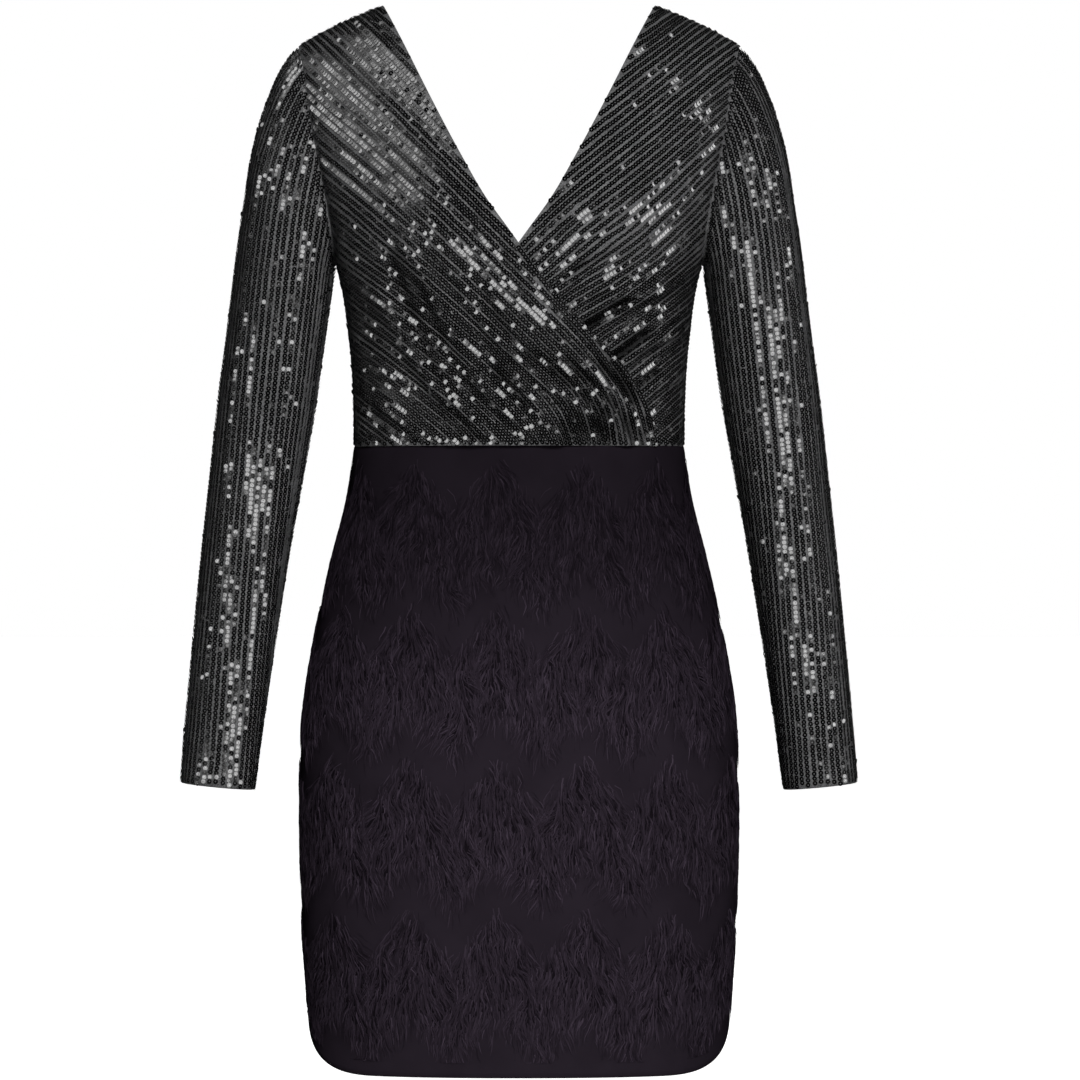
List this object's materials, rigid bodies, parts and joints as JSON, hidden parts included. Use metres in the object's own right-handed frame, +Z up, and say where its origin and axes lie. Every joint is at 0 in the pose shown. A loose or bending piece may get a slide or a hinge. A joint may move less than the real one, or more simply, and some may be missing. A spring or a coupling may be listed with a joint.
{
  "type": "sequin mini dress",
  "caption": "Mini dress with a sequin wrap bodice, deep V neck, long set-in sleeves and a tiered fringe skirt, in the hollow form it has when worn.",
  "frame": {"origin": "on the middle plane between the two shoulder seams, at their height and 10 mm in front of them, where the wearer holds the dress", "axes": "+X towards the wearer's left, +Y towards the back, +Z up; the front faces -Y"},
  "size_m": [0.5532, 0.2391, 0.872],
  "materials": {
    "sequin_cloth": "black mesh with glossy round black sequins in rows",
    "fringe_cloth": "matte plum-black cloth with tiers of soft fringe"
  },
  "bodies": {
    "root": {"front_wrap_over": "sequin_cloth", "front_wrap_under": "sequin_cloth", "back_bodice": "sequin_cloth", "sleeve_left": "sequin_cloth", "sleeve_right": "sequin_cloth", "skirt_front": "fringe_cloth", "skirt_back": "fringe_cloth"}
  },
  "joints": []
}
